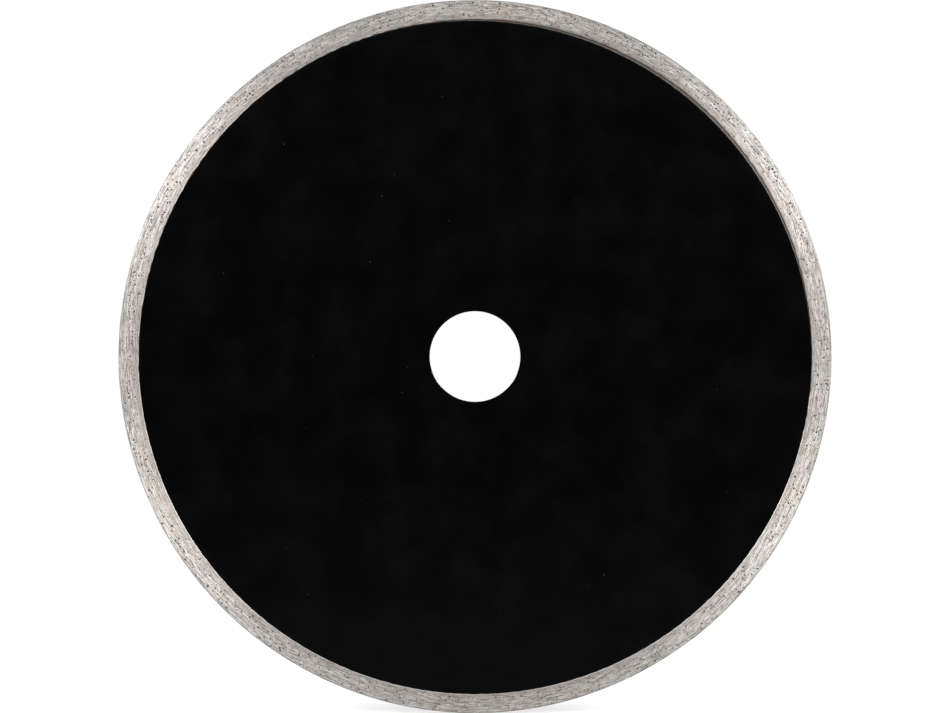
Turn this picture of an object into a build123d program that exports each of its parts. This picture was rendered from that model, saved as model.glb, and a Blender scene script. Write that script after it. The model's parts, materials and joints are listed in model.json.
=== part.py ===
"""Continuous-rim diamond blade for tile and stone, 200 mm across with a 25.4 mm bore.

The blade's axis is Y. The origin is at the bore's centre, halfway through the steel core, and the front
face looks along -Y. A painted steel core carries a sintered metal rim, which is pressed round the core's
keyed edge and holds the diamond grains that do the cutting.
"""

import os
from math import cos, pi, sin, sqrt, tan

from build123d import *

# Driving dimensions, in millimetres.
BLADE_DIAMETER = 200.0
BORE_DIAMETER = 25.4
CORE_THICKNESS = 1.6
RIM_THICKNESS = 2.2
RIM_HEIGHT = 5.6  # from the cutting edge to where the rim meets the paint
PAINT_THICKNESS = 0.05

# Edges.
BORE_CHAMFER = 0.1
RIM_EDGE_BREAK = 0.1
RIM_SHOULDER_WIDTH = 0.6  # the slope between the ground side of the rim and the core

# Keys that lock the rim to the core: round notches, narrower at the mouth than inside.
CORE_EDGE_COVER = 1.8  # how far the core's edge reaches into the rim
KEY_COUNT = 60
KEY_RADIUS = 0.9
KEY_CENTRE_DEPTH = 0.5  # from the core's edge to the notch's centre

# Diamond grains, 40/45 mesh.
GRAIN_SIZE = 0.4
GRAIN_SINK = 0.17  # from the surface to the grain's centre
SIDE_GRAIN_COUNT = 96
EDGE_GRAIN_COUNT = 120
GRAIN_EDGE_GAP = 0.6  # from the cutting edge to the nearest grain centre on a side
GRAIN_CORE_GAP = 0.4  # from the core's hidden edge to the nearest grain centre on a side
EDGE_GRAIN_SPREAD = 0.5  # half the width of the band of grains round the cutting edge
SIDE_STAGGER = 0.25  # how far the rear grains lead and the front ones lag, in steps between grains
GRAIN_TWIST = 50.0  # degrees from each grain to the next

# Derived dimensions.
BLADE_RADIUS = BLADE_DIAMETER / 2
BORE_RADIUS = BORE_DIAMETER / 2
CORE_HALF = CORE_THICKNESS / 2
RIM_HALF = RIM_THICKNESS / 2
PAINT_FACE = CORE_HALF + PAINT_THICKNESS
RIM_INNER_RADIUS = BLADE_RADIUS - RIM_HEIGHT
CORE_EDGE_RADIUS = RIM_INNER_RADIUS + CORE_EDGE_COVER
KEY_CENTRE_RADIUS = CORE_EDGE_RADIUS - KEY_CENTRE_DEPTH

# Even spreads of points without a pattern: each step adds an irrational share of the range.
GOLDEN_SHARE = (sqrt(5) - 1) / 2
SILVER_SHARE = sqrt(2) - 1

FRONT, REAR = -1, 1


def turned(outline):
    """The ring or disc that a closed outline of (radius, distance along the axis) points sweeps."""
    return revolve(make_face(Polyline(*outline, close=True)), Axis.Y)


def on_circle(radius, angle, along=0.0):
    """A point at this radius and angle from +X round the blade's axis."""
    return Vector(radius * cos(angle), along, radius * sin(angle))


def core_blank():
    """The steel disc before its edge is notched."""
    return turned(
        [
            (BORE_RADIUS + BORE_CHAMFER, -CORE_HALF),
            (CORE_EDGE_RADIUS, -CORE_HALF),
            (CORE_EDGE_RADIUS, CORE_HALF),
            (BORE_RADIUS + BORE_CHAMFER, CORE_HALF),
            (BORE_RADIUS, CORE_HALF - BORE_CHAMFER),
            (BORE_RADIUS, -CORE_HALF + BORE_CHAMFER),
        ]
    )


def key_notches():
    """One cutter for each notch in the core's edge."""
    notch = Rot(X=90) * Cylinder(KEY_RADIUS, 2 * CORE_THICKNESS)
    step = 2 * pi / KEY_COUNT
    return [Pos(on_circle(KEY_CENTRE_RADIUS, step * number)) * notch for number in range(KEY_COUNT)]


def rim_blank():
    """The sintered ring before the core's edge is taken out of it."""
    shoulder_radius = RIM_INNER_RADIUS + RIM_SHOULDER_WIDTH
    broken_radius = BLADE_RADIUS - RIM_EDGE_BREAK
    broken_half = RIM_HALF - RIM_EDGE_BREAK
    return turned(
        [
            (RIM_INNER_RADIUS, -PAINT_FACE),
            (shoulder_radius, -RIM_HALF),
            (broken_radius, -RIM_HALF),
            (BLADE_RADIUS, -broken_half),
            (BLADE_RADIUS, broken_half),
            (broken_radius, RIM_HALF),
            (shoulder_radius, RIM_HALF),
            (RIM_INNER_RADIUS, PAINT_FACE),
        ]
    )


def paint_film(side):
    """The film of black enamel on one face of the core, from the rim to the bore and down its chamfer."""
    chamfer_radius = BORE_RADIUS + BORE_CHAMFER
    chamfer_end = CORE_HALF - BORE_CHAMFER
    bend_radius = chamfer_radius - PAINT_THICKNESS * tan(pi / 8)  # the film's corner over the 45 degree edge
    film_end = chamfer_end + PAINT_THICKNESS * sqrt(2)
    return turned(
        [
            (chamfer_radius, side * CORE_HALF),
            (RIM_INNER_RADIUS, side * CORE_HALF),
            (RIM_INNER_RADIUS, side * PAINT_FACE),
            (bend_radius, side * PAINT_FACE),
            (BORE_RADIUS, side * film_end),
            (BORE_RADIUS, side * chamfer_end),
        ]
    )


def diamond_crystal():
    """A cuboctahedron, the blocky habit of saw diamond: a cube with its corners cut to mid-edge."""
    half = GRAIN_SIZE / 2
    faces = []
    for axis in range(3):
        for sign in (-1, 1):
            centre = [0.0, 0.0, 0.0]
            centre[axis] = sign * half
            corners = []
            for turn in range(4):
                corner = list(centre)
                corner[(axis + 1) % 3] = half * round(cos(turn * pi / 2))
                corner[(axis + 2) % 3] = half * round(sin(turn * pi / 2))
                corners.append(tuple(corner))
            faces.append(Face(Wire.make_polygon(corners, close=True)))
    for x in (-half, half):
        for y in (-half, half):
            for z in (-half, half):
                corners = [(x, y, 0), (0, y, z), (x, 0, z)]
                faces.append(Face(Wire.make_polygon(corners, close=True)))
    return Solid(Shell(faces))


def share(number, step):
    """The numberth value, from 0 to 1, of the even spread that this irrational step makes."""
    return (0.5 + number * step) % 1


def set_grain(crystal, place, number):
    """A copy of the crystal at a place, turned differently for each number."""
    turns = (360 * share(number, GOLDEN_SHARE), 360 * share(number, SILVER_SHARE), GRAIN_TWIST * number)
    return crystal.moved(Location(place, turns))


def side_grains(crystal, side):
    """The grains that show on one ground side of the rim."""
    low = CORE_EDGE_RADIUS + GRAIN_CORE_GAP
    high = BLADE_RADIUS - GRAIN_EDGE_GAP
    along = side * (RIM_HALF - GRAIN_SINK)
    grains = []
    for number in range(SIDE_GRAIN_COUNT):
        angle = 2 * pi * (number + side * SIDE_STAGGER) / SIDE_GRAIN_COUNT
        radius = low + (high - low) * share(number, GOLDEN_SHARE)
        grains.append(set_grain(crystal, on_circle(radius, angle, along), number))
    return grains


def edge_grains(crystal):
    """The grains that stand out of the cutting edge."""
    radius = BLADE_RADIUS - GRAIN_SINK
    grains = []
    for number in range(EDGE_GRAIN_COUNT):
        angle = 2 * pi * number / EDGE_GRAIN_COUNT
        along = EDGE_GRAIN_SPREAD * (2 * share(number, GOLDEN_SHARE) - 1)
        grains.append(set_grain(crystal, on_circle(radius, angle, along), number))
    return grains


def build():
    """Every piece of the blade, by its node's name."""
    core = core_blank() - key_notches()
    crystal = diamond_crystal()
    grains = {
        "front_side_grains": side_grains(crystal, FRONT),
        "rear_side_grains": side_grains(crystal, REAR),
        "cutting_edge_grains": edge_grains(crystal),
    }
    every_grain = [grain for group in grains.values() for grain in group]
    rim = rim_blank() - core - every_grain
    pieces = {
        "steel_core": core,
        "rim_matrix": rim,
        "front_paint": paint_film(FRONT),
        "rear_paint": paint_film(REAR),
    }
    for name, group in grains.items():
        pieces[name] = Compound(children=group)
    return pieces


os.makedirs("parts", exist_ok=True)
for name, piece in build().items():
    export_step(piece, f"parts/{name}.step")
    print(name, "solids", len(piece.solids()), "volume", round(piece.volume, 2))
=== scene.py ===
"""Looks for the continuous-rim diamond blade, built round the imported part.

The blade's axis is Y, its front face looks along -Y and its bore's centre is the origin. Shapes are worked
out in millimetres, as arrays of points, and turned into metres when a mesh is made. Angles run from +X
towards +Z. A side is -1 for the front and 1 for the rear.
"""

import json
from math import cos, pi, radians, sin, sqrt

import bmesh
import bpy
import numpy as np
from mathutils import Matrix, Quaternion, Vector, noise
from mathutils.geometry import delaunay_2d_cdt


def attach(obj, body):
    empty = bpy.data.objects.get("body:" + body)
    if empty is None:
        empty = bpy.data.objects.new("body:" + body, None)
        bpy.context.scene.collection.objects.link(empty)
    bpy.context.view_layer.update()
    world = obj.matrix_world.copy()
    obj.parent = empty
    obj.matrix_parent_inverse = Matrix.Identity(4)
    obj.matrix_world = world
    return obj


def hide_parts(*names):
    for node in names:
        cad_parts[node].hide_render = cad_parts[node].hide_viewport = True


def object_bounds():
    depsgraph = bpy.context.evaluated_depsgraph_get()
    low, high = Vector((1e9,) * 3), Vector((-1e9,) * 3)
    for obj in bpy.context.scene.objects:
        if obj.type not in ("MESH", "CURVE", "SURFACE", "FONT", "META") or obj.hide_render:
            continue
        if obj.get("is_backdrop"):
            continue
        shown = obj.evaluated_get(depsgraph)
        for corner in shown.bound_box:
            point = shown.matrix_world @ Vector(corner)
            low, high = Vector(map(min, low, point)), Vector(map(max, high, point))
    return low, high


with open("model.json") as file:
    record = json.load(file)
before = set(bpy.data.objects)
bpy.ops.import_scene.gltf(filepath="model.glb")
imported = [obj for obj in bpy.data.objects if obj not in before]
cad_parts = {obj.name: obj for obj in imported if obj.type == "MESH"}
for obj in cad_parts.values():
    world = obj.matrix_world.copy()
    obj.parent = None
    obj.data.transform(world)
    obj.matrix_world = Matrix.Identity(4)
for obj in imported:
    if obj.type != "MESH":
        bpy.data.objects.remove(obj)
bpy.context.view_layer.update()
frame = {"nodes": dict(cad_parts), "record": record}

MM = 0.001
TURN = 2 * pi
FRONT, REAR = -1, 1


def reach(node):
    """A CAD node's largest distance from the blade's axis and its largest distance from the core's middle."""
    points = np.array([vertex.co for vertex in frame["nodes"][node].data.vertices]) / MM
    return float(np.hypot(points[:, 0], points[:, 2]).max()), float(np.abs(points[:, 1]).max())


# Sizes that the part gives, in millimetres.
BLADE_RADIUS, RIM_HALF = reach("rim_matrix")
RIM_INNER_RADIUS, PAINT_FACE = reach("front_paint")
CORE_RADIUS, CORE_HALF = reach("steel_core")
SIDE_GRAIN_TOP = reach("front_side_grains")[1]
EDGE_GRAIN_TOP = reach("cutting_edge_grains")[0]
BORE = next(mount["dims"] for mount in frame["record"]["mounts"] if mount["name"] == "arbor_bore")
BORE_RADIUS = BORE["r_mm"]
BORE_CHAMFER = CORE_HALF - BORE["length_mm"] / 2

# Meshes and uneven lines.
COLUMNS = 900  # points round the blade in each row
WELD = 1e-7  # points this near to each other, in metres, become one
WAVES = 9  # waves in each uneven line

# Seeds of the random draws. The front adds -1 to its seed and the rear adds 1.
PAINT_SEED, GRAIN_SEED, CORNER_SEED, FOOT_SEED, SHOULDER_SEED = 11, 21, 31, 41, 51
FILL_SEED, CRYSTAL_SEED, SPECK_SEED = 61, 71, 81
EDGE_GRAIN_SEED, EDGE_FILL_SEED, EDGE_CRYSTAL_SEED = 25, 63, 73
SIDES_APART = 7.3  # how far apart the sides read the same noise

# The rim's surfaces.
CORNER = 0.06  # radius of the cutting edge's worn corners
CORNER_WEAR = 0.012  # how much that radius wanders
SIDE_RELIEF = 0.04  # how much thinner the rim is at its foot than at the cutting edge
SHOULDER_RADIUS = RIM_INNER_RADIUS - 0.15  # where the rim starts to rise from the core
SHOULDER_WIDTH = 0.32
SHOULDER_UNEVEN = 0.2  # how much that width wanders, over the width
SHOULDER_ROWS = (0.1, 0.3)  # the least distances from the paint to the rows at the shoulder's start and end
SHOULDER_DRIFT = 0.12  # how far the shoulder's circle sits from the blade's centre
SHOULDER_DRIFT_ANGLE = {FRONT: radians(40), REAR: radians(160)}
SHOULDER_WANDER = 0.03
STAIN_WIDTH = 0.7  # how far a stained foot's brown runs out over the ground metal
STAIN_FOOT = 0.2  # width of the bare foot at which the staining is full
HIGHLIGHT_WIDTH = 0.3  # width of the painted highlight, a bright line where the paint hides the whole foot
FOOT_RISE = 0.02  # how far the bare metal at the foot stands over the paint
FACE_RIPPLE = 0.006  # height of the broad unevenness that grinding leaves
FACE_RIPPLE_LENGTH = 9

# Where the paint ends on each side: round, but a little low, and not quite true.
PAINT_DRIFT = 0.3  # how far the painted circle's centre sits from the blade's
PAINT_DRIFT_ANGLE = {FRONT: radians(259), REAR: radians(40)}
PAINT_LOBES = ((2, 0.16, 104), (3, 0.09, 17), (4, 0.05, -35))  # lobes, height and how far round, in degrees
PAINT_JITTER = 0.035

# The enamel.
PAINT_BEAD = 0.08  # width of its rounded edge against the rim
PAINT_SWELL = 1.5  # width of the slight swelling beside the rim
PAINT_RIPPLE = 0.006
PAINT_RIPPLE_LENGTH = 14
PAINT_ROWS = 36
PAINT_BEND = BORE_RADIUS + 2 * BORE_CHAMFER  # the radius at which the enamel's face ends near the bore
PAINT_DIP = PAINT_BEND - 0.6 * BORE_CHAMFER  # the radius from which it curves down to the bore
SPECK_COUNT = 26  # dust caught in the paint on each side
SPECK_RADII = (0.1, 0.2)
SPECK_HEIGHT = 0.03
SPECK_MARGIN = 2  # the least distance from a speck to the bore and to the rim

# Diamond grains.
SIDE_GRAIN_COUNT = 680
EDGE_GRAIN_COUNT = 260
GRAIN_SIZES = (0.25, 0.72)  # smallest and largest, across
GRAIN_SPREAD = (2, 2.5)  # the beta distribution of their sizes
GRAIN_GAP = 0.7  # least distance between two grains
GRAIN_SINK = 0.45  # how deep a grain's middle lies under the metal's surface, over its size
GRAIN_REACH = 0.71  # how far a crystal's corners lie from its middle, over its size
PIT_MARGIN = 1.1  # a pit's radius over its grain's
PIT_DEPTH = 0.12
EDGE_MARGIN = 0.03  # the least distance from a band's edge to the points round its dents
DENT_RINGS = ((0.0, 1), (0.55, 6), (0.95, 9), (1.35, 9))  # share of a dent's radius, and points at it
DENT_CLEARANCE = 1.7  # how far from a dent's middle a band's plain points start, over its radius
GRAIN_MARGIN = 0.5  # the least distance from a grain's middle to the cutting edge's corners
GRAIN_START = CORE_RADIUS - 0.6  # the least distance from a side grain to the blade's axis
EMPTY_PITS = 0.18  # the share of pits that have lost their grain
GROUP_SHARE = 0.4  # the share of grains that lie near another
GROUP_LENGTH = 1.6  # how far off such grains are, along the rim and across it
GROUP_WIDTH = 0.6
OUTER_SHARE = 0.58  # the share of side grains in the outer half of the rim
CRYSTAL_CUTS = (0.0, 0.15, 0.3, 0.5)  # where the corners of each form of crystal are cut
CRYSTAL_CORNER = 0.9  # the least reach of a crystal's corner, over a true one's
CRYSTAL_SQUASH = 0.85  # the least width of a crystal, over its size
CRYSTAL_FLAT = radians(4)  # faces nearer than this to one plane are one face

# The studio, in metres, watts and degrees.
CAMERA_DISTANCE = 1.5
PICTURE_SHAPE = 950 / 713  # width over height
GLOW_START, GLOW_FULL = 0.02, 0.13  # how far from the blade the floor's glow starts to rise, and is full
GLOW = (0.3, 0.6)  # its strength there
LIGHT_TILT = 52  # how far the lights stand off the blade's axis
SOFTBOXES = (  # name, direction round the axis, power, size and distance
    ("right", 30.5, 340, 1.7, 6),
    ("left", 149.5, 340, 1.7, 6),
    ("side", 0, 45, 1.7, 6),
    ("top", 90, 0.9, 0.4, 0.6),
)


# ---------------------------------------------------------------- meshes


def new_object(name, points, faces, material, marks=None):
    """A mesh object from points in millimetres. marks are named values, one for each point."""
    mesh = bpy.data.meshes.new(name)
    mesh.from_pydata((np.asarray(points) * MM).tolist(), [], faces)
    for mark, values in (marks or {}).items():
        mesh.attributes.new(mark, "FLOAT", "POINT").data.foreach_set("value", np.asarray(values, np.float32))
    mesh.materials.append(material)
    made = bpy.data.objects.new(name, mesh)
    bpy.context.scene.collection.objects.link(made)
    return made


def tidy(piece, sharp_degrees):
    """Joins points that coincide, turns every face outwards and shades smooth up to an angle."""
    work = bmesh.new()
    work.from_mesh(piece.data)
    bmesh.ops.remove_doubles(work, verts=work.verts, dist=WELD)
    bmesh.ops.recalc_face_normals(work, faces=work.faces)
    work.to_mesh(piece.data)
    work.free()
    piece.data.shade_smooth()
    piece.data.set_sharp_from_angle(angle=radians(sharp_degrees))


def polar(angle, radius, along):
    """Points at these angles and radii round the blade's axis."""
    angle, radius, along = np.broadcast_arrays(angle, radius, along)
    return np.stack([radius * np.cos(angle), along, radius * np.sin(angle)], axis=-1)


def column_angles(columns=COLUMNS):
    """Evenly spread angles round the blade."""
    return np.arange(columns) * TURN / columns


def in_space(chart, along):
    """The points at these chart places, which are complex numbers, and distances along the axis."""
    return np.stack([chart.real, np.broadcast_to(along, chart.shape), chart.imag], axis=-1)


def strip_faces(rows, columns=COLUMNS):
    """Quads between successive closed rows of points."""
    faces = []
    for row in range(rows - 1):
        for column in range(columns):
            beside = (column + 1) % columns
            low, high = row * columns, (row + 1) * columns
            faces.append((low + column, low + beside, high + beside, high + column))
    return faces


def join_patches(name, patches, usual_marks, material):
    """One object from patches of points, faces and marks. A patch without a mark gets its usual value."""
    points, faces, marks = [], [], {mark: [] for mark in usual_marks}
    start = 0
    for patch_points, patch_faces, patch_marks in patches:
        points.append(patch_points)
        faces += [tuple(start + corner for corner in face) for face in patch_faces]
        for mark, usual in usual_marks.items():
            marks[mark].append(patch_marks.get(mark, np.full(len(patch_points), usual)))
        start += len(patch_points)
    marks = {mark: np.concatenate(values) for mark, values in marks.items()}
    return new_object(name, np.concatenate(points), faces, material, marks)


def wander(angle, seed, slowest, fastest):
    """An uneven value from about -1 to 1 round the blade, made of waves of these counts to the turn."""
    draw = np.random.default_rng(seed)
    total = np.zeros_like(angle)
    for _ in range(WAVES):
        count = int(draw.integers(slowest, fastest + 1))
        total += np.sin(count * angle + draw.uniform(0, TURN))
    return total / sqrt(WAVES)


def paint_edge(side, angle):
    """The radius at which the paint ends and the rim begins."""
    radius = RIM_INNER_RADIUS + PAINT_DRIFT * np.cos(angle - PAINT_DRIFT_ANGLE[side])
    for count, height, shift in PAINT_LOBES:
        radius = radius + height * np.cos(count * angle - radians(shift) * side)
    return radius + PAINT_JITTER * wander(angle, PAINT_SEED + side, 60, 240)


# ---------------------------------------------------------------- grains and their pits

# A band round the blade is worked out on a flat chart, whose points are complex numbers: the angle is the
# angle round the blade, and the length is the radius or, on the cutting edge, a place across it.


def scatter(count, low, high, seed, outer_share=0.5):
    """Chart places of grains between two radii, some in loose groups, and the grains' sizes."""
    draw = np.random.default_rng(seed)
    places = np.zeros(0, complex)
    middle = (low + high) / 2
    while len(places) < count:
        if len(places) and draw.random() < GROUP_SHARE:
            near = places[draw.integers(len(places))]
            step = draw.normal(0, GROUP_LENGTH) / abs(near)
            place = near * np.exp(1j * step) * (1 + draw.normal(0, GROUP_WIDTH) / abs(near))
        else:
            outer = draw.random() < outer_share
            radius = draw.uniform(middle, high) if outer else draw.uniform(low, middle)
            place = radius * np.exp(1j * draw.uniform(0, TURN))
        if low <= abs(place) <= high and (np.abs(places - place) > GRAIN_GAP).all():
            places = np.append(places, place)
    smallest, largest = GRAIN_SIZES
    return places, smallest + (largest - smallest) * draw.beta(*GRAIN_SPREAD, count)


def dent_points(places, radii):
    """Points round each dent or bump, close enough together to show its shape."""
    found = []
    for share, number in DENT_RINGS:
        for step in range(number):
            found.append(places + share * radii * np.exp(1j * (step * TURN / number + share)))
    return np.concatenate(found)


def dent_field(chart, places, radii):
    """How deep in a dent each point lies, from 0 to 1 at a dent's middle."""
    depth = np.zeros(len(chart))
    for place, radius in zip(places, radii):
        depth = np.maximum(depth, 1 - (np.abs(chart - place) / radius) ** 2)
    return smooth_step(depth)


def outside(ring, points):
    """Whether each point lies outside a closed ring of points, one to each column."""
    column = np.floor(np.angle(points) % TURN / TURN * len(ring)).astype(int) % len(ring)
    start, end = ring[column], ring[(column + 1) % len(ring)]
    return (np.conj(end - start) * (points - start)).imag < 0


def band_mesh(rows, places, radii):
    """Chart points and triangles over a band. rows holds the radii of each closed row, from one edge of the
    band to the other, and places and radii the dents that the points crowd round."""
    columns = len(rows[0])
    base = column_angles(columns)
    spokes = np.exp(1j * base)
    edges = np.concatenate([rows[0] * spokes, rows[-1] * spokes])
    inside = np.concatenate([row * spokes for row in rows[1:-1]])
    clear = np.ones(len(inside), bool)
    for place, radius in zip(places, radii):
        clear &= np.abs(inside - place) > DENT_CLEARANCE * radius
    dents = dent_points(places, radii)
    low, high = [np.interp(np.angle(dents), base, row, period=TURN) for row in (rows[0], rows[-1])]
    within = (np.abs(dents) > low + EDGE_MARGIN) & (np.abs(dents) < high - EDGE_MARGIN)
    chart = np.concatenate([edges, inside[clear], dents[within]])
    inner_edge = [(column, (column + 1) % columns) for column in range(columns)]
    outer_edge = [(first + columns, second + columns) for first, second in inner_edge]
    flat = [Vector((point.real, point.imag)) for point in chart]
    whole_hull, nearness = 0, 1e-6
    made = delaunay_2d_cdt(flat, inner_edge + outer_edge, [], whole_hull, nearness, True)
    source = np.array([origins[0] for origins in made[3]])
    faces = source[np.array(made[2])]
    middles = chart[faces].mean(axis=1)
    kept = outside(rows[0] * spokes, middles) & ~outside(rows[-1] * spokes, middles)
    return chart, faces[kept].tolist()


# ---------------------------------------------------------------- the rim


def pit_radii(grains):
    """The radii of the pits round grains, which are places and sizes."""
    return PIT_MARGIN * grains[1] / 2


def corner_radius(side, angle):
    """The radius of the worn corner between one side and the cutting edge."""
    return CORNER + CORNER_WEAR * wander(angle, CORNER_SEED + side, 40, 200)


def shoulder(side, angle):
    """The radii at which the rim starts to rise from its foot and at which it is flat."""
    start = SHOULDER_RADIUS + SHOULDER_DRIFT * np.cos(angle - SHOULDER_DRIFT_ANGLE[side])
    start = start + SHOULDER_WANDER * wander(angle, FOOT_SEED + side, 40, 220)
    width = SHOULDER_WIDTH * (1 + SHOULDER_UNEVEN * wander(angle, SHOULDER_SEED + side, 30, 200))
    return start, start + width


def smooth_step(value):
    """0 up to 0 and 1 from 1 on, with a soft rise between them."""
    value = np.clip(value, 0, 1)
    return value * value * (3 - 2 * value)


def unevenness(side, chart, length):
    """Smooth random heights from -1 to 1 over a flat chart, about this far from one rise to the next."""
    places = [Vector((place.real, place.imag, 0)) / length for place in chart]
    return np.array([noise.noise(place + Vector((0, 0, SIDES_APART * side))) for place in places])


def side_face(side, chart):
    """Heights over the core's middle on one side of the rim, and how far up its shoulder, from 0 to 1."""
    angle, radius = np.angle(chart), np.abs(chart)
    full = RIM_HALF - SIDE_RELIEF * (BLADE_RADIUS - radius) / (BLADE_RADIUS - RIM_INNER_RADIUS)
    full = full - FACE_RIPPLE * (1 + unevenness(side, chart, FACE_RIPPLE_LENGTH))
    start, end = shoulder(side, angle)
    rise = smooth_step((radius - start) / (end - start))
    foot = PAINT_FACE + FOOT_RISE
    return foot + (full - foot) * rise, rise


def foot_stain_and_highlight(side, chart):
    """Below 0 where the metal at the rim's foot is stained, and above 0 where a painted highlight brightens
    its edge.
    """
    angle, radius = np.angle(chart), np.abs(chart)
    start, end = shoulder(side, angle)
    bare = smooth_step((start - paint_edge(side, angle)) / STAIN_FOOT)
    stain = bare * smooth_step(1 - (radius - end) / STAIN_WIDTH)
    # painted highlight: a bright line beside the paint where the paint hides the whole foot
    painted_highlight = (1 - bare) * smooth_step(1 - (radius - paint_edge(side, angle)) / HIGHLIGHT_WIDTH)
    return painted_highlight - stain


def side_surface(side, grains):
    """One side of the rim: its points, faces, and the marks that its metal reads."""
    base = column_angles()
    inner = paint_edge(side, base)
    outer = BLADE_RADIUS - corner_radius(side, base)
    start, end = shoulder(side, base)
    start, end = np.maximum(start, inner + SHOULDER_ROWS[0]), np.maximum(end, inner + SHOULDER_ROWS[1])
    rows = [inner + (start - inner) * step for step in (0, 0.33, 0.67)]
    rows += [start + (end - start) * step for step in (0, 0.2, 0.4, 0.6, 0.8)]
    rows += [end + (outer - end) * step for step in np.linspace(0, 1, 12)[:-1]]
    chart, faces = band_mesh([*rows, outer], grains[0], pit_radii(grains))
    pit = dent_field(chart, grains[0], pit_radii(grains))
    height, rise = side_face(side, chart)
    points = in_space(chart, side * (height - PIT_DEPTH * pit))
    return points, faces, {"pit": pit, "ground": rise, "stain_and_highlight": foot_stain_and_highlight(side, chart)}


def edge_surface(grains):
    """The cutting edge, between its two worn corners. The chart's lengths run across it."""
    base = column_angles()
    low = BLADE_RADIUS - RIM_HALF + corner_radius(FRONT, base)
    high = BLADE_RADIUS + RIM_HALF - corner_radius(REAR, base)
    rows = [low + (high - low) * step for step in np.linspace(0, 1, 8)]
    chart, faces = band_mesh(rows, grains[0], pit_radii(grains))
    pit = dent_field(chart, grains[0], pit_radii(grains))
    points = polar(np.angle(chart), BLADE_RADIUS - PIT_DEPTH * pit, np.abs(chart) - BLADE_RADIUS)
    return points, faces, {"pit": pit, "ground": np.ones(len(chart))}


def corner_surface(side):
    """The worn corner between one side of the rim and the cutting edge."""
    base = column_angles()
    bend = corner_radius(side, base)
    top = side_face(side, (BLADE_RADIUS - bend) * np.exp(1j * base))[0]
    edge = RIM_HALF - bend
    rows = []
    for turn in np.linspace(0, pi / 2, 4):
        radius = BLADE_RADIUS - bend * (1 - sin(turn))
        rows.append(polar(base, radius, side * (edge + (top - edge) * cos(turn))))
    return np.concatenate(rows), strip_faces(len(rows)), {}


def channel_surface():
    """The hidden channel that holds the core's edge, from the front side's foot to the rear's."""
    base = column_angles()
    feet = {side: paint_edge(side, base) for side in (FRONT, REAR)}
    tops = {side: side * side_face(side, feet[side] * np.exp(1j * base))[0] for side in (FRONT, REAR)}
    rows = [
        polar(base, feet[FRONT], tops[FRONT]),
        polar(base, feet[FRONT], -CORE_HALF),
        polar(base, CORE_RADIUS, -CORE_HALF),
        polar(base, CORE_RADIUS, CORE_HALF),
        polar(base, feet[REAR], CORE_HALF),
        polar(base, feet[REAR], tops[REAR]),
    ]
    return np.concatenate(rows), strip_faces(len(rows)), {}


def rim(grains, metal):
    """The sintered ring, from its two sides, its cutting edge, the corners between them and its channel."""
    patches = [side_surface(side, grains[side]) for side in (FRONT, REAR)]
    patches.append(edge_surface(grains["edge"]))
    patches += [corner_surface(side) for side in (FRONT, REAR)]
    patches.append(channel_surface())
    made = join_patches("rim", patches, {"pit": 0.0, "ground": 1.0, "stain_and_highlight": 0.0}, metal)
    tidy(made, sharp_degrees=40)
    return made


# ---------------------------------------------------------------- diamond crystals


def crystal_form(cut, draw):
    """The corners and faces of one crystal, 1 across: a cube with its corners cut, a little uneven."""
    corners = []
    for axis in range(3):
        for first in (-1, 1):
            for second in (-1, 1):
                for third in (-cut, cut):
                    corner = [0.0, 0.0, 0.0]
                    corner[axis] = third
                    corner[axis - 1] = first
                    corner[axis - 2] = second
                    corners.append([0.5 * c * draw.uniform(CRYSTAL_CORNER, 1) for c in corner])
    work = bmesh.new()
    for corner in corners:
        work.verts.new(corner)
    bmesh.ops.convex_hull(work, input=work.verts)
    bmesh.ops.dissolve_limit(work, angle_limit=CRYSTAL_FLAT, verts=work.verts, edges=work.edges)
    loose = [v for v in work.verts if not v.link_faces]
    bmesh.ops.delete(work, geom=loose, context="VERTS")
    work.verts.index_update()
    points = np.array([v.co for v in work.verts])
    faces = [tuple(v.index for v in face.verts) for face in work.faces]
    work.free()
    return points, faces


def crystals(name, centres, sizes, seed, diamond):
    """One piece that holds a crystal at each centre, each turned its own way and of its own shade."""
    draw = np.random.default_rng(seed)
    forms = [crystal_form(cut, draw) for cut in CRYSTAL_CUTS]
    points, faces, shades, start = [], [], [], 0
    for centre, size in zip(centres, sizes):
        form_points, form_faces = forms[draw.integers(len(forms))]
        spin = np.array(Quaternion(draw.normal(size=4)).normalized().to_matrix())
        stretch = draw.uniform(CRYSTAL_SQUASH, 1, 3)
        points.append((form_points * stretch * size) @ spin.T + centre)
        faces += [tuple(start + v for v in face) for face in form_faces]
        shades.append(np.full(len(form_points), draw.random()))
        start += len(form_points)
    return new_object(name, np.concatenate(points), faces, diamond, {"shade": np.concatenate(shades)})


def filled(grains, seed):
    """The places and sizes of the grains that are still in their pits."""
    keep = np.random.default_rng(seed).random(len(grains[0])) > EMPTY_PITS
    return grains[0][keep], grains[1][keep]


def side_crystals(side, grains, diamond):
    places, sizes = filled(grains, FILL_SEED + side)
    sink = np.maximum(GRAIN_SINK * sizes, GRAIN_REACH * sizes - (SIDE_GRAIN_TOP - RIM_HALF))
    centres = in_space(places, side * (side_face(side, places)[0] - sink))
    name = "front_grains" if side == FRONT else "rear_grains"
    return crystals(name, centres, sizes, CRYSTAL_SEED + side, diamond)


def edge_crystals(grains, diamond):
    places, sizes = filled(grains, EDGE_FILL_SEED)
    sink = np.maximum(GRAIN_SINK * sizes, GRAIN_REACH * sizes - (EDGE_GRAIN_TOP - BLADE_RADIUS))
    centres = polar(np.angle(places), BLADE_RADIUS - sink, np.abs(places) - BLADE_RADIUS)
    return crystals("edge_grains", centres, sizes, EDGE_CRYSTAL_SEED, diamond)


# ---------------------------------------------------------------- the painted core


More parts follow.
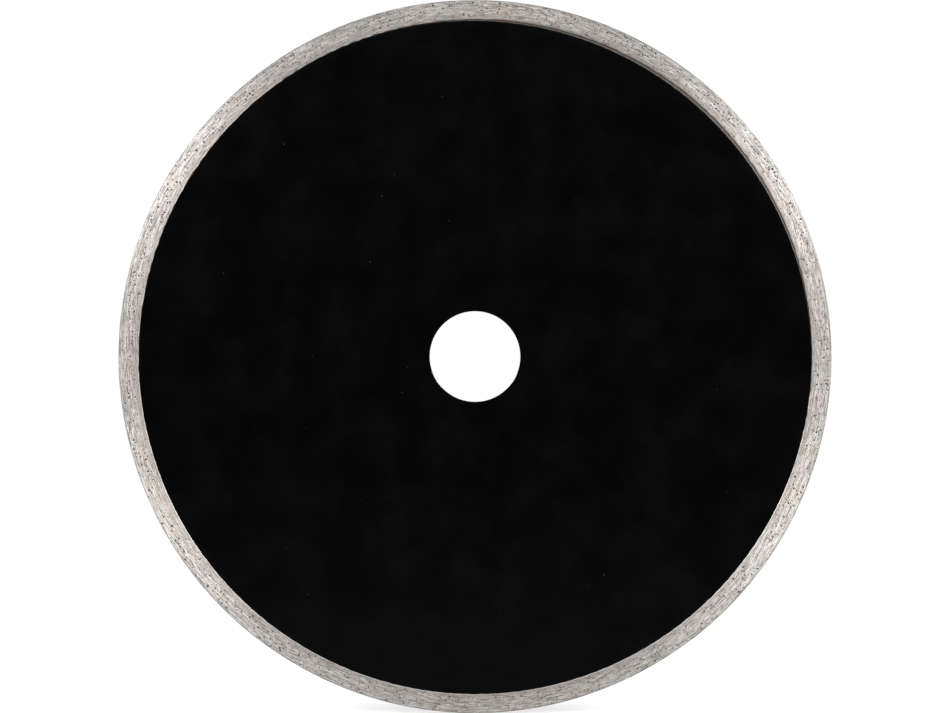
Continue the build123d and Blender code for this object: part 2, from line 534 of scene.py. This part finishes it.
def paint_surface(side, specks):
    """The enamel's outer face from the bore's bend to near the rim, with dust caught in it."""
    base = column_angles()
    low = np.full(COLUMNS, PAINT_BEND)
    high = paint_edge(side, base) - PAINT_BEAD
    rows = [low + (high - low) * step for step in np.linspace(0, 1, PAINT_ROWS)]
    chart, faces = band_mesh(rows, *specks)
    speck = dent_field(chart, *specks)
    height = paint_height(side, chart) + SPECK_HEIGHT * speck
    return in_space(chart, side * height), faces, {"speck": speck}


def paint_height(side, chart):
    """The enamel's height over the core's middle, which swells beside the rim."""
    from_bead = paint_edge(side, np.angle(chart)) - PAINT_BEAD - np.abs(chart)
    beside_rim = smooth_step(1 - from_bead / PAINT_SWELL)
    waves = PAINT_RIPPLE * (unevenness(side, chart, PAINT_RIPPLE_LENGTH) - 1)
    return PAINT_FACE + waves + PAINT_RIPPLE * beside_rim


def paint_ends(side):
    """The rest of the enamel's skin: over its bead to the rim, under it, and round the bore's edge."""
    base = column_angles()
    spokes = np.exp(1j * base)
    bead_start = paint_edge(side, base) - PAINT_BEAD
    bead_top = paint_height(side, bead_start * spokes)
    rows = [polar(base, PAINT_BEND, side * paint_height(side, PAINT_BEND * spokes))]
    chamfer_end = CORE_HALF - BORE_CHAMFER
    film = PAINT_FACE - CORE_HALF
    for turn in np.linspace(0, pi / 4, 4)[1:]:
        height = PAINT_FACE - BORE_CHAMFER * (1 - cos(turn))
        rows.append(polar(base, PAINT_DIP - BORE_CHAMFER * sin(turn), side * height))
    rows.append(polar(base, BORE_RADIUS, side * (chamfer_end + film)))
    rows.append(polar(base, BORE_RADIUS, side * chamfer_end))
    rows.append(polar(base, BORE_RADIUS + BORE_CHAMFER, side * CORE_HALF))
    rows.append(polar(base, bead_start + PAINT_BEAD, side * CORE_HALF))
    for turn in np.linspace(0, pi / 2, 5):
        height = CORE_HALF + (bead_top - CORE_HALF) * sin(turn)
        rows.append(polar(base, bead_start + PAINT_BEAD * cos(turn), side * height))
    return np.concatenate(rows), strip_faces(len(rows)), {}


def enamel(side, paint):
    """The film of enamel on one side of the core."""
    low, high = BORE_RADIUS + SPECK_MARGIN, RIM_INNER_RADIUS - SPECK_MARGIN
    draw = np.random.default_rng(SPECK_SEED + side)
    radii = np.sqrt(draw.uniform(low**2, high**2, SPECK_COUNT))
    places = radii * np.exp(1j * draw.uniform(0, TURN, SPECK_COUNT))
    specks = places, draw.uniform(*SPECK_RADII, SPECK_COUNT)
    name = "front_enamel" if side == FRONT else "rear_enamel"
    made = join_patches(name, [paint_surface(side, specks), paint_ends(side)], {"speck": 0.0}, paint)
    tidy(made, sharp_degrees=50)
    return made


def core(steel):
    """The steel disc. Only its bore shows."""
    columns = 720
    base = column_angles(columns)
    wall = CORE_HALF - BORE_CHAMFER
    outline = [(CORE_RADIUS, CORE_HALF), (CORE_RADIUS, -CORE_HALF), (BORE_RADIUS + BORE_CHAMFER, -CORE_HALF)]
    outline += [(BORE_RADIUS, along) for along in np.linspace(-wall, wall, 7)]
    outline += [(BORE_RADIUS + BORE_CHAMFER, CORE_HALF), (CORE_RADIUS, CORE_HALF)]
    rows = [polar(base, radius, along) for radius, along in outline]
    made = new_object("core", np.concatenate(rows), strip_faces(len(rows), columns), steel)
    tidy(made, sharp_degrees=30)
    return made


# ---------------------------------------------------------------- materials


class Recipe:
    """One material's nodes. add() makes a node, fills its inputs by name or number and gives its output."""

    def __init__(self, name):
        self.material = bpy.data.materials.new(name)
        self.material.use_nodes = True
        self.tree = self.material.node_tree
        self.shader = self.tree.nodes["Principled BSDF"]

    def add(self, kind, inputs, output=0, **settings):
        node = self.tree.nodes.new("ShaderNode" + kind)
        for setting, value in settings.items():
            setattr(node, setting, value)
        for socket, value in inputs.items():
            self.feed(node.inputs[socket], value)
        return node.outputs[output]

    def feed(self, socket, value):
        if isinstance(value, bpy.types.NodeSocket):
            self.tree.links.new(value, socket)
        else:
            socket.default_value = value

    def sum(self, operation, first, second=0.0):
        return self.add("Math", {0: first, 1: second}, operation=operation)

    def vector(self, operation, first, second=(0, 0, 0)):
        return self.add("VectorMath", {0: first, 1: second}, operation=operation)

    def scaled(self, vector, factor):
        return self.add("VectorMath", {0: vector, "Scale": factor}, operation="SCALE")

    def ramp(self, value, low, high, to_low=0.0, to_high=1.0):
        """The value rescaled from low..high to other limits, and held within them."""
        return self.add("MapRange", {0: value, 1: low, 2: high, 3: to_low, 4: to_high})

    def colour(self, share, first, second):
        """A colour the given share of the way from the first to the second."""
        return self.add("Mix", {0: share, 6: first, 7: second}, output=2, data_type="RGBA")

    def graded(self, value, stops):
        """A colour read from a row of (place, colour) stops."""
        output = self.add("ValToRGB", {0: value})
        elements = output.node.color_ramp.elements
        for number, (place, colour) in enumerate(stops):
            element = elements[number] if number < 2 else elements.new(place)
            element.position = place
            element.color = (*colour, 1)
        return output

    def noise(self, vector, scale, detail=2.0, roughness=0.5):
        inputs = {"Vector": vector, "Scale": scale, "Detail": detail, "Roughness": roughness}
        return self.add("TexNoise", inputs)

    def mark(self, name):
        return self.add("Attribute", {}, output="Fac", attribute_name=name)

    def bump(self, height, distance, strength, under=None):
        """A normal that follows the height, which is multiplied by a distance in millimetres."""
        inputs = {"Height": height, "Distance": distance * MM, "Strength": strength}
        if under:
            inputs["Normal"] = under
        return self.add("Bump", inputs)

    def place(self):
        """The place on the blade, in millimetres."""
        return self.scaled(self.add("TexCoord", {}, output="Object"), 1 / MM)

    def round_axis(self, place):
        """A place's radius, the way that it lies from the blade's axis and how far along the axis it is."""
        flat = self.vector("MULTIPLY", place, (1, 0, 1))
        radius = self.add("VectorMath", {0: flat}, output="Value", operation="LENGTH")
        along = self.add("SeparateXYZ", {0: place}, output="Y")
        return radius, self.vector("NORMALIZE", flat), along

    def set(self, **values):
        """Values and links for the shader's own sockets, named with _ for each space."""
        for socket, value in values.items():
            self.feed(self.shader.inputs[socket.replace("_", " ")], value)
        return self.material


def over_foot(recipe, colour, rise, off_ground):
    """The colour with the unground foot in it: bare beside the paint, then a dark band of dirt and painted
    shade, and a worn slope.
    """
    bare, shade_and_dirt, worn = (0.17, 0.155, 0.14), (0.05, 0.042, 0.037), (0.22, 0.165, 0.135)
    # from 0.08 to 0.5 of the rise the foot is dark: partly dirt, partly painted shade
    foot = recipe.graded(rise, ((0.0, bare), (0.08, shade_and_dirt), (0.5, shade_and_dirt), (0.95, worn)))
    return recipe.colour(off_ground, colour, foot)


def over_pits(recipe, colour, dirt, place):
    """The colour with soot in the pits."""
    thin = recipe.ramp(recipe.noise(place, 0.9, 1.0), 0.35, 0.65)
    soot = recipe.colour(thin, (0.02, 0.021, 0.018, 1), (0.10, 0.10, 0.092, 1))
    return recipe.colour(dirt, colour, soot)


def metal_relief(recipe, place, fine, medium, off_ground):
    """The fine relief of the streaks, with a grain over it that is strong only where nothing was ground."""
    normal = recipe.bump(recipe.sum("ADD", fine, medium), 0.012, 0.7)
    grain = recipe.noise(place, 9.0, 3.0, 0.65)
    return recipe.bump(grain, 0.02, recipe.ramp(off_ground, 0.0, 1.0, 0.12, 0.8), normal)


def sintered_metal():
    """Ground bronze and iron: fine streaks along the rim, brown and pale, over broad patches."""
    recipe = Recipe("sintered_metal")
    place = recipe.place()
    radius, way, along = recipe.round_axis(place)
    over = recipe.sum("ADD", radius, along)

    def streaks(width, length, sway, bends):
        """Noise drawn out along the rim, in streaks of about this width and length. They slant to and fro."""
        drift = recipe.sum("MULTIPLY", recipe.noise(way, bends, 0.0), sway)
        across = recipe.sum("DIVIDE", recipe.sum("ADD", over, drift), width)
        along_rim = recipe.scaled(way, BLADE_RADIUS / length)
        lifted = recipe.vector("ADD", along_rim, recipe.add("CombineXYZ", {1: across}))
        return recipe.noise(lifted, 1.0, 1.0, 0.6)

    fine = streaks(0.13, 2.4, 6.0, 2.1)
    medium = streaks(0.22, 5.0, 9.0, 1.6)
    broad = streaks(0.7, 12.0, 6.0, 1.9)
    scratches = streaks(0.15, 9.0, 12.0, 1.3)
    smears = streaks(0.45, 2.6, 6.0, 1.7)
    patches = recipe.noise(place, 0.16, 2.0)
    specks = recipe.noise(place, 2.4, 2.0, 0.6)
    # the foot's brown stain, and the painted highlight along its edge
    stain_and_highlight = recipe.mark("stain_and_highlight")
    broken = recipe.sum("ADD", stain_and_highlight, recipe.ramp(medium, 0.3, 0.7, -0.35, 0.35))

    # What places each layer, the values at which it starts and is full, its share when full, and its colour.
    layers = (
        (medium, 0.54, 0.70, 0.8, (0.17, 0.16, 0.15)),  # dark streaks
        (broad, 0.44, 0.68, 0.55, (0.57, 0.44, 0.36)),  # brown bands
        (medium, 0.44, 0.30, 0.7, (0.85, 0.83, 0.81)),  # pale streaks
        (scratches, 0.61, 0.68, 0.85, (0.15, 0.14, 0.13)),  # dark scratches
        (scratches, 0.38, 0.30, 0.8, (0.92, 0.90, 0.88)),  # bright scratches
        (radius, BLADE_RADIUS - 3.2, RIM_INNER_RADIUS + 0.7, 0.42, (0.32, 0.27, 0.24)),  # duller inner part
        (radius, BLADE_RADIUS - 0.4, BLADE_RADIUS - 0.1, 0.5, (0.22, 0.21, 0.20)),  # painted shade, darker towards the outer edge and over the worn corners and the cutting edge
        (patches, 0.50, 0.75, 0.3, (0.44, 0.44, 0.44)),  # broad grey patches
        (specks, 0.60, 0.67, 0.85, (0.07, 0.07, 0.065)),  # small dark marks
        (smears, 0.70, 0.76, 0.7, (0.10, 0.095, 0.09)),  # dark smears
        (broken, -0.35, -1.0, 0.85, (0.20, 0.145, 0.11)),  # the foot's brown stain
        (stain_and_highlight, 0.0, 1.0, 0.8, (0.86, 0.83, 0.80)),  # painted highlight, a bright line along the foot's edge
    )
    colour = recipe.colour(recipe.ramp(fine, 0.38, 0.62), (0.27, 0.25, 0.234, 1), (0.86, 0.822, 0.785, 1))
    for value, start, full, share, shade in layers:
        colour = recipe.colour(recipe.ramp(value, start, full, 0.0, share), colour, (*shade, 1))

    rise = recipe.mark("ground")
    off_ground = recipe.ramp(rise, 1.0, 0.9)
    dirt = recipe.ramp(recipe.mark("pit"), 0.0, 0.3)
    colour = over_foot(recipe, colour, rise, off_ground)
    colour = over_pits(recipe, colour, dirt, place)
    dressed = recipe.ramp(radius, BLADE_RADIUS - 0.05, BLADE_RADIUS, 0.0, 0.25)  # the cutting edge is duller
    rough = recipe.sum("ADD", recipe.ramp(medium, 0.3, 0.7, 0.48, 0.58), dressed)
    return recipe.set(
        Base_Color=colour,
        Metallic=recipe.ramp(dirt, 0.0, 1.0, 0.65, 0.1),
        Roughness=recipe.add("Mix", {0: dirt, 2: rough, 3: 0.9}),
        Anisotropic=0.8,
        Anisotropic_Rotation=0.25,
        Tangent=recipe.add("Tangent", {}, direction_type="RADIAL", axis="Y"),
        Normal=metal_relief(recipe, place, fine, medium, off_ground),
    )


def black_enamel():
    """Satin black enamel with orange peel, faint cloudiness and dust caught in it."""
    recipe = Recipe("black_enamel")
    place = recipe.place()
    peel = recipe.noise(place, 0.9, 3.0, 0.55)
    clouds = recipe.noise(place, 0.07, 4.0, 0.6)
    fleck = recipe.ramp(recipe.mark("speck"), 0.1, 0.5)
    deep, thin = (0.0003, 0.0003, 0.0005, 1), (0.0007, 0.0007, 0.001, 1)
    shade = recipe.colour(recipe.ramp(clouds, 0.4, 0.65), deep, thin)
    return recipe.set(
        Base_Color=recipe.colour(fleck, shade, (0.034, 0.035, 0.037, 1)),
        Roughness=recipe.ramp(clouds, 0.35, 0.65, 0.24, 0.28),
        Specular_IOR_Level=0.25,
        IOR=1.5,
        Normal=recipe.bump(peel, 0.02, 0.3),
    )


def core_steel():
    """Bored steel, with turning marks round the bore and a little overspray at its ends."""
    recipe = Recipe("core_steel")
    place = recipe.place()
    radius, way, along = recipe.round_axis(place)
    rings = recipe.scaled(recipe.add("CombineXYZ", {0: along, 1: radius}), 16.0)
    turned = recipe.noise(recipe.vector("ADD", recipe.scaled(way, 3.0), rings), 1.0, 3.0, 0.6)
    drift = recipe.sum("MULTIPLY", recipe.noise(place, 1.2), 0.35)
    spray = recipe.sum("ADD", recipe.sum("ABSOLUTE", along), drift)
    painted = recipe.ramp(spray, CORE_HALF + 0.02, CORE_HALF + 0.1)
    bare = recipe.colour(turned, (0.30, 0.30, 0.30, 1), (0.62, 0.62, 0.61, 1))
    return recipe.set(
        Base_Color=recipe.colour(painted, bare, (0.004, 0.004, 0.004, 1)),
        Metallic=recipe.sum("SUBTRACT", 1.0, painted),
        Roughness=recipe.ramp(turned, 0.3, 0.7, 0.28, 0.42),
        Normal=recipe.bump(turned, 0.01, 0.5),
    )


def diamond_grit():
    """Saw diamond set in metal: dark grey-green to straw, glassy, with dull patches."""
    recipe = Recipe("diamond")
    place = recipe.place()
    shade = recipe.mark("shade")
    dark = recipe.colour(recipe.ramp(shade, 0.0, 0.8), (0.012, 0.015, 0.013, 1), (0.12, 0.13, 0.11, 1))
    return recipe.set(
        Base_Color=recipe.colour(recipe.ramp(shade, 0.86, 0.95), dark, (0.22, 0.19, 0.09, 1)),
        Roughness=recipe.ramp(recipe.noise(place, 6.0, 2.0), 0.35, 0.65, 0.2, 0.5),
        IOR=1.8,
        Normal=recipe.bump(recipe.noise(place, 14.0, 2.0), 0.006, 0.5),
    )


# ---------------------------------------------------------------- studio


def aim(thing, place):
    """Puts a light or camera at a place in metres, looking at the bore's centre."""
    thing.location = place
    thing.rotation_euler = (-Vector(place)).to_track_quat("-Z", "Y").to_euler()
    bpy.context.scene.collection.objects.link(thing)


def softbox(name, side, angle, power, size, distance):
    """A square light on one side of the blade. angle is its direction round the blade's axis."""
    light = bpy.data.lights.new(name, "AREA")
    light.size = size
    light.energy = power
    lamp = bpy.data.objects.new(name, light)
    lamp.visible_camera = False
    off = distance * sin(radians(LIGHT_TILT))
    away = side * distance * cos(radians(LIGHT_TILT))
    aim(lamp, (off * cos(radians(angle)), away, off * sin(radians(angle))))


def lights():
    """The same softboxes on both sides, so that the rear is lit like the front."""
    for side, name in ((FRONT, "front"), (REAR, "rear")):
        for place, angle, power, size, distance in SOFTBOXES:
            softbox(name + "_" + place, side, angle, power, size, distance)


def studio_world():
    """White where the camera sees it, and nearly dark to everything else."""
    world = bpy.data.worlds.new("studio")
    bpy.context.scene.world = world
    world.use_nodes = True
    tree = world.node_tree
    background = tree.nodes["Background"]
    path = tree.nodes.new("ShaderNodeLightPath")
    tree.links.new(path.outputs["Is Camera Ray"], background.inputs["Color"])
    background.inputs["Strength"].default_value = 1.0


def floor():
    """A pale round floor under the blade, lit so that it merges with the white behind it."""
    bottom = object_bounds()[0].z / MM
    columns = 96
    base = column_angles(columns)
    radii = (1, 30, 90, 180, 260, 330, 400)
    chart = np.concatenate([radius * np.exp(1j * base) for radius in radii])
    points = np.stack([chart.real, chart.imag, np.full(len(chart), bottom)], axis=-1)
    recipe = Recipe("pale_floor")
    flat = recipe.vector("MULTIPLY", recipe.add("TexCoord", {}, output="Object"), (1, 1, 0))
    from_middle = recipe.add("VectorMath", {0: flat}, output="Value", operation="LENGTH")
    glow = recipe.ramp(from_middle, GLOW_START, GLOW_FULL, *GLOW)
    seen = recipe.add("LightPath", {}, output="Is Camera Ray")
    mirrored = recipe.add("LightPath", {}, output="Is Glossy Ray")
    recipe.set(
        Base_Color=recipe.colour(mirrored, (0.42, 0.42, 0.42, 1), (0.05, 0.05, 0.05, 1)),
        Roughness=0.9,
        Emission_Color=(1, 1, 1, 1),
        Emission_Strength=recipe.sum("MULTIPLY", seen, glow),
    )
    new_object("floor", points, strip_faces(len(radii), columns), recipe.material)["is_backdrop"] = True


def camera():
    """Square on to the front, far enough away for the blade to fill the height of the picture."""
    lens = bpy.data.cameras.new("camera")
    lens.sensor_width = 36.0
    lens.lens = lens.sensor_width * CAMERA_DISTANCE / (PICTURE_SHAPE * 2 * BLADE_RADIUS * MM)
    made = bpy.data.objects.new("camera", lens)
    aim(made, (0, -CAMERA_DISTANCE - RIM_HALF * MM, 0))
    bpy.context.scene.camera = made


# ---------------------------------------------------------------- the blade


def place_piece(piece, slot, *nodes):
    """Ties a piece to the part: the body that carries it and the CAD nodes that it stands for, which it
    hides. slot is not used.
    """
    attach(piece, "root")
    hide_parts(*nodes)


def blade():
    metal, paint, steel, diamond = sintered_metal(), black_enamel(), core_steel(), diamond_grit()
    grains = {}
    for side in (FRONT, REAR):
        high = BLADE_RADIUS - GRAIN_MARGIN
        grains[side] = scatter(SIDE_GRAIN_COUNT, GRAIN_START, high, GRAIN_SEED + side, OUTER_SHARE)
    across = RIM_HALF - GRAIN_MARGIN
    low, high = BLADE_RADIUS - across, BLADE_RADIUS + across
    grains["edge"] = scatter(EDGE_GRAIN_COUNT, low, high, EDGE_GRAIN_SEED)
    place_piece(core(steel), "core_steel", "steel_core")
    place_piece(enamel(FRONT, paint), "black_enamel", "front_paint")
    place_piece(enamel(REAR, paint), "black_enamel", "rear_paint")
    place_piece(rim(grains, metal), "sintered_metal", "rim_matrix")
    place_piece(side_crystals(FRONT, grains[FRONT], diamond), "diamond", "front_side_grains")
    place_piece(side_crystals(REAR, grains[REAR], diamond), "diamond", "rear_side_grains")
    place_piece(edge_crystals(grains["edge"], diamond), "diamond", "cutting_edge_grains")


camera()
blade()
studio_world()
floor()
lights()
bpy.context.scene.view_settings.view_transform = "Standard"
